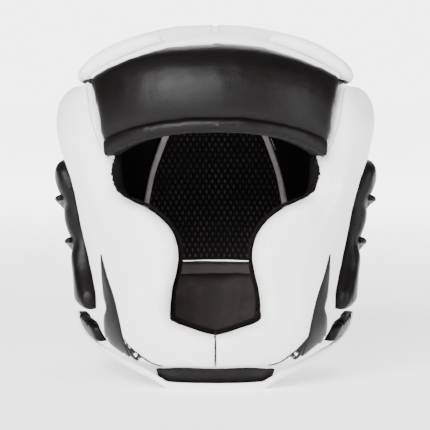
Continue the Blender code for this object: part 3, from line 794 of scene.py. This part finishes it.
# The crown panel
# White leather over foam, domed over the top of the head, with a middle seam
# and a seam on each side, each between two rows of stitches.
CROWN_PUFF = 0.0024
CROWN_GROOVE = (0.0016, 0.0022)
STITCH_OFFSET = 0.0032
CROWN_SEAMS = (
    [(0, -0.058), (0, -0.02), (0, 0.03), (0, 0.075), (0, 0.1)],
    [(-0.045, -0.045), (-0.052, 0.0), (-0.05, 0.05), (-0.038, 0.088)],
    [(0.045, -0.045), (0.052, 0.0), (0.05, 0.05), (0.038, 0.088)],
)
SEAM_STITCH = (0.0009, 0.0003, 0.00024)
SEAM_PITCH = 0.0028
crown_mesh = stuffed(solid_of("crown_panel"), 0.0032, CROWN_PUFF)
lumpy(crown_mesh, 6, 1.3)
crown_tree = tree_of(crown_mesh)
for route in CROWN_SEAMS:
    press(crown_mesh, laid(crown_tree, top_ray, route), *CROWN_GROOVE)
crown_tree = tree_of(crown_mesh)
for index, route in enumerate(CROWN_SEAMS):
    for word, offset in (("left", -STITCH_OFFSET), ("right", STITCH_OFFSET)):
        beside = [(x + offset, y) for x, y in route]
        stitch_row("crown_stitches_%d_%s" % (index, word), crown_tree, top_ray, beside,
                   SEAM_PITCH, SEAM_STITCH, pale_thread, (crown_mesh,))
line_inside(crown_mesh)
show("crown_panel_leather", crown_mesh, (white, lining), ["crown_panel"])

# The crown lips
# Two rolled white edges where the crown's front is turned over foam cord, one
# above each end of the forehead binding, puckered by their stitches.
for word, seed in (("left", 7), ("right", 8)):
    mesh = stuffed(solid_of("crown_lip_" + word), 0.0018, 0, 2)
    lumpy(mesh, seed, 0.8)
    show("crown_lip_%s_leather" % word, mesh, (white,), ["crown_lip_" + word])

# The side walls
# The white padded walls behind the ear pads, from the shell to the rear pad,
# with a stitched seam near the top and one near the rear edge.
wall_left = stuffed(solid_of("side_wall_left"), 0.0032, 0.0018)
for word, sign in (("left", -1), ("right", 1)):
    mesh = wall_left if sign < 0 else twin_of(wall_left)
    lumpy(mesh, 9, 0.9)
    wall_tree = tree_of(mesh)
    rows = ([(sign * 108, 0.209), (sign * 125, 0.209), (sign * 145, 0.209)],
            [(sign * 121, 0.085), (sign * 127, 0.125), (sign * 140, 0.165), (sign * 150, 0.2)])
    for index, route in enumerate(rows):
        press(mesh, laid(wall_tree, side_ray, route), 0.0005, 0.0016)
        stitch_row("side_wall_stitches_%s_%d" % (word, index), wall_tree, side_ray, route, SEAM_PITCH,
                   SEAM_STITCH, pale_thread, (mesh,))
    line_inside(mesh)
    show("side_wall_%s_leather" % word, mesh, (white, lining), ["side_wall_" + word])


# The side linings
# Smooth black leather inside the walls, soft and slightly slack over thin foam.
def fine_copy(node, simple=0, smooth=2):
    """A thin solid with a finer, rounder mesh."""
    piece = bpy.data.objects.new("copy", solid_of(node))
    bpy.context.scene.collection.objects.link(piece)
    first = piece.modifiers.new("even", "SUBSURF")
    first.subdivision_type = "SIMPLE"
    first.levels = simple
    piece.modifiers.new("round", "SUBSURF").levels = smooth
    mesh = with_modifiers(piece)
    bpy.data.objects.remove(piece)
    return mesh


for word in ("left", "right"):
    mesh = fine_copy("side_lining_" + word)
    lumpy(mesh, 10, 0.5)
    show("side_lining_%s_leather" % word, mesh, (lining,), ["side_lining_" + word])

# The ear pads
# Black leather over foam on each side, drawn into three bulges by two folded
# rings, each bulge of two upright rolls with a deep groove between them.
EAR_GROOVE = (0.0030, 0.0022)
EAR_CREASE = (0.0008, 0.0014)
EAR_GROOVES = (
    [(-99, 0.150), (-97, 0.135), (-97, 0.128)], [(-97, 0.120), (-96, 0.108), (-96, 0.098)],
    [(-96, 0.090), (-95, 0.075), (-92, 0.058)],
)
EAR_CREASES = (
    [(-88, 0.088), (-91, 0.082)], [(-88, 0.078), (-92, 0.072)], [(-87, 0.068), (-91, 0.063)],
    [(-99, 0.086), (-103, 0.080)], [(-99, 0.074), (-103, 0.068)], [(-90, 0.118), (-91, 0.104)],
    [(-103, 0.117), (-103, 0.103)], [(-90, 0.146), (-88, 0.134)], [(-104, 0.146), (-105, 0.132)],
    [(-93, 0.140), (-94, 0.130)],
)
ear_left = stuffed(solid_of("ear_pad_left"), 0.0027, 0.0016, 3)
for route in EAR_GROOVES:
    press(ear_left, laid(tree_of(ear_left), side_ray, route, 0.001), *EAR_GROOVE)
for route in EAR_CREASES:
    press(ear_left, laid(tree_of(ear_left), side_ray, route, 0.001), *EAR_CREASE)
ear_trees = {}
for word in ("left", "right"):
    mesh = ear_left if word == "left" else twin_of(ear_left)
    lumpy(mesh, 11 if word == "left" else 12, 0.8)
    ear_trees[word] = tree_of(mesh)
    show("ear_pad_%s_leather" % word, mesh, (black,), ["ear_pad_" + word])

# The ear rings
# Folds of black leather round each ear pad, where its covers are turned in
# and stitched, standing out like flat piping.
RING_MARKS = {
    "upper": [(-79, 0.1345), (-84, 0.1328), (-90, 0.1285), (-96, 0.1248), (-104, 0.1225), (-112, 0.1215)],
    "lower": [(-77, 0.1022), (-84, 0.0998), (-90, 0.0955), (-96, 0.0922), (-104, 0.0900), (-111, 0.0890)],
}
RING_RADIUS = 0.0042
RING_FLAT = 0.6
RING_SIDES = 14
for word, sign in (("left", 1), ("right", -1)):
    for ring, marks in RING_MARKS.items():
        marks = [(sign * angle, height) for angle, height in marks]
        path = laid(ear_trees[word], side_ray, marks, 0.0008, 0.0012)
        ends = [min(1.0, 0.6 + 8 * min(k, len(path) - 1 - k) / len(path)) for k in range(len(path))]
        upright = [(place, Vector((0, 0, 1)).lerp(normal, 0.25).normalized()) for place, normal in path]
        mesh = tube(upright, [RING_RADIUS * end for end in ends], RING_SIDES, RING_FLAT)
        lumpy(mesh, 13, 0.6)
        name = "ear_ring_%s_%s" % (ring, word)
        show(name + "_fold", mesh, (black,), [name])

# The rear pad
# White leather over foam at the back of the head, widest low down, with a
# stitched seam round it. The photograph hides it, so it is finished plainly.
REAR_SEAM = [(138, 0.088), (145, 0.125), (158, 0.165), (167, 0.195), (171, 0.206), (180, 0.208),
             (189, 0.206), (193, 0.195), (202, 0.165), (215, 0.125), (222, 0.088)]
REAR_FOOT_SEAM = [(139, 0.086), (160, 0.084), (180, 0.083), (200, 0.084), (221, 0.086)]
rear_mesh = stuffed(solid_of("rear_pad"), 0.0032, 0.0022)
lumpy(rear_mesh, 14)
rear_tree = tree_of(rear_mesh)
for index, route in enumerate((REAR_SEAM, REAR_FOOT_SEAM)):
    press(rear_mesh, laid(rear_tree, side_ray, route), 0.0007, 0.0018)
    stitch_row("rear_pad_stitches_%d" % index, rear_tree, side_ray, route, SEAM_PITCH, SEAM_STITCH,
               pale_thread, (rear_mesh,))
line_inside(rear_mesh)
show("rear_pad_leather", rear_mesh, (white, lining), ["rear_pad"])

# The rear lining
# Black spacer mesh over the inner face of the rear pad, knitted with staggered
# oval eyelets through which the paler backing shows.
EYELET_ACROSS = 0.00475
EYELET_UP = 0.0043
EYELET_HALF_WIDTH = 0.00095
EYELET_HALF_HEIGHT = 0.0017
LINING_RADIUS = 0.09

mesh_shader = Shader("mesh_lining", 0.15)
turn = mesh_shader.axis(0).of("ARCTAN2", mesh_shader.axis(1)) * LINING_RADIUS
level = mesh_shader.axis(2) / EYELET_UP
odd = (level.of("FLOOR") * 0.5).of("FRACT")
cell_x = ((turn / EYELET_ACROSS + odd).of("FRACT") - 0.5) * (EYELET_ACROSS / EYELET_HALF_WIDTH)
cell_y = (level.of("FRACT") - 0.5) * (EYELET_UP / EYELET_HALF_HEIGHT)
away = (cell_x * cell_x + cell_y * cell_y).of("SQRT")
eyelet = 1 - away.band(0.55, 1.25)
worn = mesh_shader.noise(60.0, 3.0).band(0.3, 0.7)
knit = mesh_shader.noise(1400.0, 3.0, 0.6)
mesh_colour = mesh_shader.blend(eyelet * (worn * 0.6 + 0.4), (0.0022, 0.0016, 0.0014), (0.034, 0.031, 0.030))
mesh_lining = mesh_shader.finish(mesh_colour, 0.85, eyelet * -0.8 + knit * 0.25, 0.0006)
mesh = fine_copy("rear_lining")
lumpy(mesh, 15, 0.8)
show("rear_lining_cloth", mesh, (mesh_lining,), ["rear_lining"])

# The rear bindings
# Pale ribbed tape sewn over both edges of the mesh, with a line of stitches
# along it.
tape_shader = Shader("pale_binding", 0.25)
tape_wear = tape_shader.noise(120.0, 4.0, 0.6).band(0.35, 0.75)
tape_relief = tape_shader.noise(500.0, 3.0, 0.6, (1, 1, 0.3)) * 0.6 + tape_shader.noise(90.0) * 0.8
tape = tape_shader.finish(tape_shader.blend(tape_wear, (0.36, 0.33, 0.33), (0.26, 0.235, 0.235)), 0.6,
                          tape_relief, 0.0004)
for word in ("left", "right"):
    mesh = fine_copy("rear_binding_" + word, 1, 1)
    lumpy(mesh, 16, 0.5)
    show("rear_binding_%s_tape" % word, mesh, (tape,), ["rear_binding_" + word])

# The nape hem
# A grey band of doubled leather under the mesh, over the top of the nape pad.
HEM_STRETCH = 1.04
HEM_DROP = 0.0042
hem_leather = black_leather("hem_leather", (0.050, 0.041, 0.040), 0.42, 0.15)
mesh = fine_copy("nape_hem", 1, 1)
put_vertices(mesh, vertices_of(mesh) * (1, 1, HEM_STRETCH) - (0, 0, HEM_DROP))
lumpy(mesh, 17, 0.5)
show("nape_hem_leather", mesh, (hem_leather,), ["nape_hem"])

# The nape pad
# A soft panel of dark grey leather behind the neck, resting on the floor.
nape_leather = black_leather("nape_leather", (0.022, 0.0168, 0.0168), 0.42, 0.15, 0.0002)
mesh = stuffed(solid_of("nape_pad"), 0.0028, 0.0012)
lumpy(mesh, 18, 0.6)
show("nape_pad_leather", mesh, (nape_leather,), ["nape_pad"])

# The rear strap
# A flat black closing strap across the back, with stitched edges; it holds by
# hook and loop, and its ends are sewn to the walls.
strap_mesh = fine_copy("rear_strap")
strap_tree = tree_of(strap_mesh)
for index, height in enumerate((0.1195, 0.1515)):
    route = [(angle, height) for angle in (125, 140, 160, 180, 200, 220, 235)]
    stitch_row("rear_strap_stitches_%d" % index, strap_tree, side_ray, route, SEAM_PITCH, SEAM_STITCH,
               pale_thread, (strap_mesh,))
show("rear_strap_leather", strap_mesh, (black,), ["rear_strap"])

# The jaw flaps
# Soft black leather folded behind the jaw, inside the collar's upturned ends.
for word, seed in (("left", 19), ("right", 20)):
    mesh = stuffed(solid_of("jaw_flap_" + word), 0.0022, 0, 3)
    lumpy(mesh, seed, 0.8)
    show("jaw_flap_%s_leather" % word, mesh, (black,), ["jaw_flap_" + word])

# The under-chin panel
# A lens of thin black leather between the chin and the collar, gathered at
# both ends.
mesh = fine_copy("under_chin_panel", 1, 1)
lumpy(mesh, 21, 0.3)
show("under_chin_panel_leather", mesh, (black,), ["under_chin_panel"])

# The collar binding
# A folded white leather edge round the foot of the guard, flat on the floor
# under the chin and rising to both jaws.
mesh = stuffed(solid_of("collar_binding"), 0.0013, 0, 2)
lumpy(mesh, 22, 0.5)
show("collar_binding_leather", mesh, (white,), ["collar_binding"])

# The studio
# A white floor that glows, a large soft light before the guard and smaller ones beside
# and above it, in a dim room with a bright backdrop. The floor's glow is painted light.
FLOOR_HALF = 12.0
BACKDROP = 5.0
floor_mesh = bpy.data.meshes.new("floor")
work = bmesh.new()
bmesh.ops.create_grid(work, x_segments=1, y_segments=1, size=FLOOR_HALF)
work.to_mesh(floor_mesh)
work.free()
floor = bpy.data.objects.new("floor", floor_mesh)
bpy.context.scene.collection.objects.link(floor)
floor_shader = Shader("floor", 0.2)
# Painted light: the floor glows at the backdrop's strength, its emission colour dim near the guard and bright
# farther out, where the lamps reach it less.
floor_shader.surface.inputs["Emission Strength"].default_value = BACKDROP
distance = (floor_shader.axis(0) * floor_shader.axis(0) + floor_shader.axis(1) * floor_shader.axis(1)).of("SQRT")
painted_floor_glow = floor_shader.blend(distance.band(0.35, 2.6), (0.24, 0.24, 0.24), (0.93, 0.93, 0.93))
floor_shader.set(floor_shader.surface.inputs["Emission Color"], painted_floor_glow)
floor_mesh.materials.append(floor_shader.finish((0.9, 0.9, 0.9), 0.7, floor_shader.noise(40.0), 0.0001))


def soft_light(name, place, width, height, power):
    light = bpy.data.lights.new(name, "AREA")
    light.shape = "RECTANGLE"
    light.size = width
    light.size_y = height
    light.energy = power
    lamp = bpy.data.objects.new(name, light)
    bpy.context.scene.collection.objects.link(lamp)
    lamp.location = place
    lamp.rotation_euler = (LOOK_AT - Vector(place)).to_track_quat("-Z", "Y").to_euler()


soft_light("key", (-0.9, -2.2, 1.5), 1.8, 1.4, 200)
soft_light("fill", (1.9, -1.6, 0.9), 1.4, 1.4, 45)
soft_light("back", (0.3, 1.9, 1.9), 1.6, 1.2, 60)
world = bpy.data.worlds.new("studio")
world.use_nodes = True
world_tree = world.node_tree
backdrop = world_tree.nodes["Background"]
backdrop.inputs["Color"].default_value = (1, 1, 1, 1)
camera_sees = world_tree.nodes.new("ShaderNodeLightPath")
brightness = world_tree.nodes.new("ShaderNodeMapRange")
brightness.inputs["To Min"].default_value = 0.28
brightness.inputs["To Max"].default_value = BACKDROP
world_tree.links.new(camera_sees.outputs["Is Camera Ray"], brightness.inputs["Value"])
world_tree.links.new(brightness.outputs["Result"], backdrop.inputs["Strength"])
bpy.context.scene.world = world
